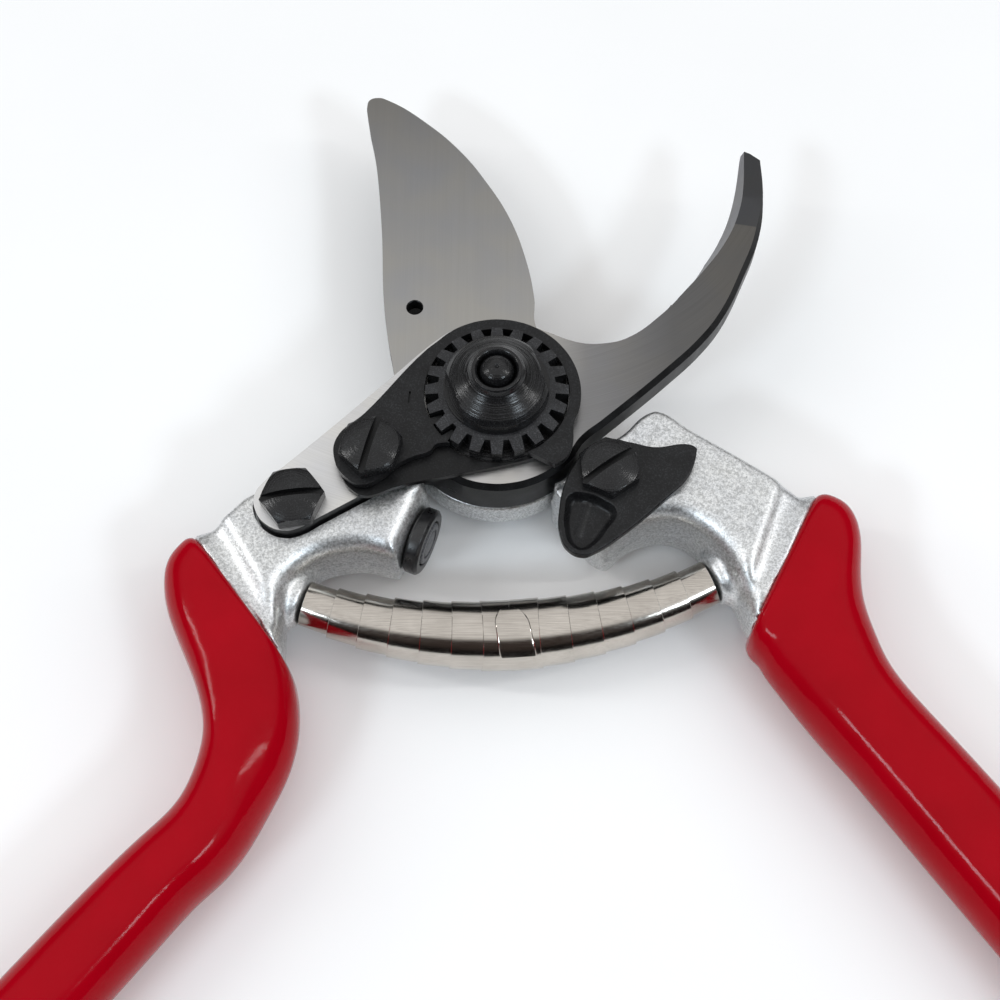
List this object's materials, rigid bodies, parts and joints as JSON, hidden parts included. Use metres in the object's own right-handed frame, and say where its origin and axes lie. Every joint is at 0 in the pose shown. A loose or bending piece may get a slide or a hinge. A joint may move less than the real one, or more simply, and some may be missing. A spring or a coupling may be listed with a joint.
{
  "type": "pruning shears",
  "caption": "Bypass pruning shears lying open: hook and cutting blade on a toothed-nut pivot, red-dipped cast handles, volute spring and thumb catch.",
  "frame": {"origin": "on the pivot axis, at the flat back of the pivot bolt's head, which lies on the table", "axes": "+Z along the pivot bolt from its head to its nut, +Y towards the tips of the open blades, +X towards the handle of the cutting blade"},
  "size_m": [0.1833, 0.1758, 0.0283],
  "materials": {
    "cast_aluminium": "sand-blasted",
    "red_coating": "satin gloss",
    "blade_steel": "ground lengthwise",
    "hook_steel": "ground, darker than the blade",
    "black_oxide": "satin black oxide",
    "nickel": "bright nickel plate",
    "bronze": "satin",
    "rubber": "matt"
  },
  "bodies": {
    "left_half": {"left_handle": "cast_aluminium", "left_grip": "red_coating", "counter_blade": "hook_steel", "pivot_bolt": "black_oxide", "pivot_nut": "black_oxide", "toothed_segment": "black_oxide", "segment_plate": "black_oxide", "segment_screw": "black_oxide", "tang_screw": "black_oxide", "buffer_rubber": "rubber", "buffer_disc": "black_oxide", "volute_spring": "nickel"},
    "right_half": {"right_handle": "cast_aluminium", "right_grip": "red_coating", "cutting_blade": "blade_steel", "pivot_bush": "bronze", "blade_locating_pin": "blade_steel", "catch_screw": "black_oxide", "catch_washer": "blade_steel"},
    "catch": {"thumb_catch": "black_oxide"}
  },
  "joints": [
    {"name": "main_pivot", "type": "hinge", "parent": "left_half", "child": "right_half", "pos_m": [0, 0, 0.01], "axis": [0, 0, 1], "range_deg": [-60, 0], "stiffness_Nm_per_rad": 1, "deforming": ["volute_spring"]},
    {"name": "catch_pivot", "type": "hinge", "parent": "right_half", "child": "catch", "pos_m": [0.0169, -0.01235, 0.0175], "axis": [0, 0, 1], "range_deg": [-20.5, 0]}
  ]
}
